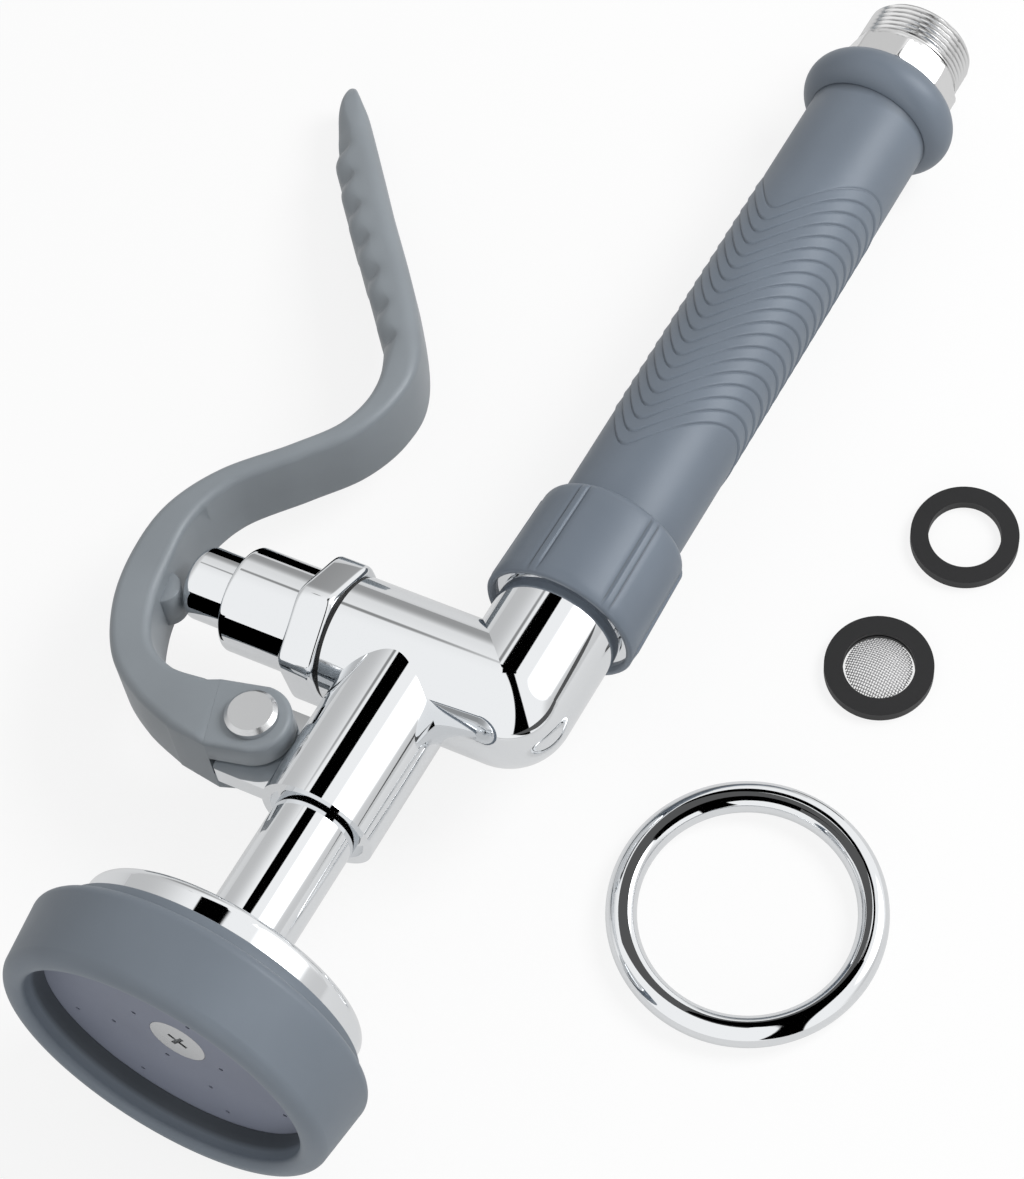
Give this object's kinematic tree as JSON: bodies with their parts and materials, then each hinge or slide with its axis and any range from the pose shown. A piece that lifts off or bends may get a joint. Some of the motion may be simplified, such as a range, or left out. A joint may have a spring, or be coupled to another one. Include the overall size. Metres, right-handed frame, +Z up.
{
  "type": "pre-rinse spray valve",
  "caption": "Hand-held pre-rinse spray valve with a squeeze lever, a ribbed grip, a bumper round the spray face, and a loose hold-down ring, hose washer and filter washer.",
  "frame": {"origin": "middle of the bounding box's floor area, on the surface that the valve and the loose parts lie on", "axes": "+Z up; +X from the spray face towards the hose end, level; +Y towards the lever's side. The valve lies on its side, so its own middle plane is tilted by a few degrees."},
  "size_m": [0.3336, 0.223, 0.0843],
  "materials": {
    "chrome": "polished chrome plating",
    "grey_rubber": "smooth blue-grey rubber",
    "grey_lever": "satin grey moulded cover",
    "face_plastic": "matte grey plastic",
    "satin_steel": "satin stainless steel",
    "nickel": "turned, bright nickel plating",
    "brass": "turned brass, inside only",
    "black_rubber": "matte black rubber"
  },
  "bodies": {
    "valve": {"spray_bumper": "grey_rubber", "spray_face": "face_plastic", "face_screw": "satin_steel", "face_gasket": "black_rubber", "spray_cup": "chrome", "outlet_tube": "chrome", "tube_o_ring": "black_rubber", "valve_body": "chrome", "bonnet": "chrome", "bonnet_gasket": "black_rubber", "stem_guide": "brass", "stem_o_ring": "black_rubber", "spring_washer": "satin_steel", "return_spring": "satin_steel", "seat_ring": "brass", "pivot_screw": "satin_steel", "pivot_nut": "satin_steel", "coupling_washer": "black_rubber", "handle_tube": "brass", "grip_sleeve": "grey_rubber", "grip_end_ring": "grey_rubber", "hose_end": "nickel"},
    "lever": {"lever": "grey_lever"},
    "plunger": {"push_pin": "chrome", "valve_stem": "satin_steel", "poppet": "brass", "poppet_washer": "black_rubber", "stem_nut": "satin_steel"},
    "coupling": {"coupling_nut": "chrome", "nut_collar": "grey_lever"},
    "hold_down_ring": {"hold_down_ring": "chrome"},
    "hose_washer": {"hose_washer": "black_rubber"},
    "filter": {"filter_washer": "black_rubber", "filter_screen": "satin_steel"}
  },
  "joints": [
    {"name": "lever_squeeze", "type": "hinge", "parent": "valve", "child": "lever", "pos_m": [-0.08164, 0.03288, 0.03293], "axis": [-0.0887, -0.1435, -0.9857], "range_deg": [0, 12]},
    {"name": "plunger_slide", "type": "slide", "parent": "valve", "child": "plunger", "axis": [0.0129, -0.9897, 0.1429], "range_m": [0, 0.0061], "stiffness_N_per_m": 800, "springref_m": -0.006, "deforming": ["return_spring"]},
    {"name": "coupling_turn", "type": "hinge", "parent": "valve", "child": "coupling", "pos_m": [-0.0143, -0.01412, 0.03371], "axis": [0.996, 0, -0.0896], "continuous": true},
    {"name": "ring_lift", "type": "slide", "parent": "valve", "child": "hold_down_ring", "axis": [0, 0, 1], "range_m": [0, 0.06]},
    {"name": "washer_lift", "type": "slide", "parent": "valve", "child": "hose_washer", "axis": [0, 0, 1], "range_m": [0, 0.06]},
    {"name": "filter_lift", "type": "slide", "parent": "valve", "child": "filter", "axis": [0, 0, 1], "range_m": [0, 0.06]}
  ],
  "couplings": [
    {"joint": "plunger_slide", "follows": "lever_squeeze", "m_per_rad": 0.0288}
  ]
}
